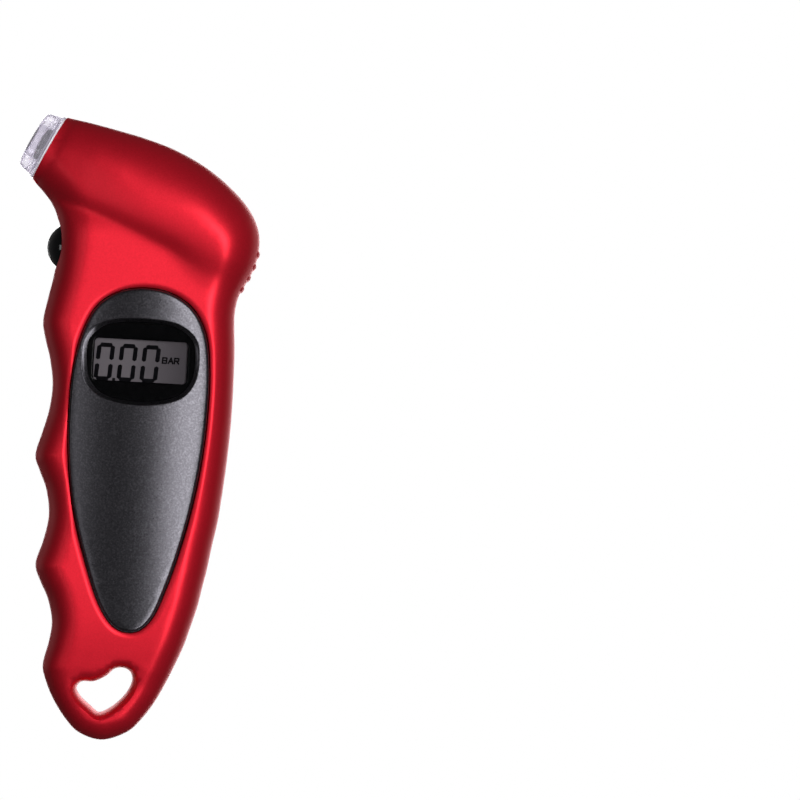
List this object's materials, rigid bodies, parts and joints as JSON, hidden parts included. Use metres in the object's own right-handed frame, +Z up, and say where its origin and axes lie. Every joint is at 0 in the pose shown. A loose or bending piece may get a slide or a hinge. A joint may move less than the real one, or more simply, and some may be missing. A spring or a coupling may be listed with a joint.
{
  "type": "tire pressure gauge",
  "caption": "Handheld digital tire pressure gauge with a pistol-shaped body, clear nozzle tip, push button, raised display panel and a lanyard loop.",
  "frame": {"origin": "middle of the grip, on the shells' parting plane, where a hand holds it", "axes": "+Z up along the display panel, -Y out of the display, -X towards the nozzle and the finger grooves"},
  "size_m": [0.0587, 0.0301, 0.1493],
  "materials": {
    "red_shell": "satin metallic red",
    "gunmetal_panel": "satin gunmetal with fine sparkle",
    "clear_tip": "clear moulded plastic",
    "display_window": "clear moulded plastic",
    "black_frame": "black moulded plastic",
    "black_button": "glossy black",
    "black_rubber": "matte black rubber",
    "display_glass": "grey liquid crystal display",
    "light_guide": "white diffuser",
    "circuit_board": "green solder mask",
    "steel": "plated steel",
    "brass": "turned brass",
    "led_resin": "white light-emitting diode",
    "wire_insulation": "grey flexible insulation"
  },
  "bodies": {
    "gauge_body": {"front_shell": "red_shell", "rear_shell": "red_shell", "shell_screw_upper": "steel", "shell_screw_lower": "steel", "display_panel": "gunmetal_panel", "display_lens": "display_window", "lcd_frame": "black_frame", "lcd_glass": "display_glass", "backlight_plate": "light_guide", "lcd_connector": "black_rubber", "main_board": "circuit_board", "controller_chip": "black_frame", "coin_cell": "steel", "battery_clip": "steel", "battery_contact": "brass", "board_screw_upper": "steel", "board_screw_lower": "steel", "sensor_wires": "wire_insulation", "led_wires": "wire_insulation", "switch_wires": "wire_insulation", "nozzle_tip": "clear_tip", "nozzle_seal": "black_rubber", "valve_depressor": "brass", "air_chamber": "brass", "led_board": "circuit_board", "nozzle_led_upper": "led_resin", "nozzle_led_lower": "led_resin", "sensor_o_ring": "black_rubber", "pressure_sensor": "steel", "switch_body": "black_frame", "switch_board": "circuit_board"},
    "button": {"power_button": "black_button", "switch_plunger": "black_frame"}
  },
  "joints": [
    {"name": "button_press", "type": "slide", "parent": "gauge_body", "child": "button", "axis": [0.9903, 0, -0.1392], "range_m": [0, 0.001], "stiffness_N_per_m": 1500, "springref_m": -0.0005}
  ]
}
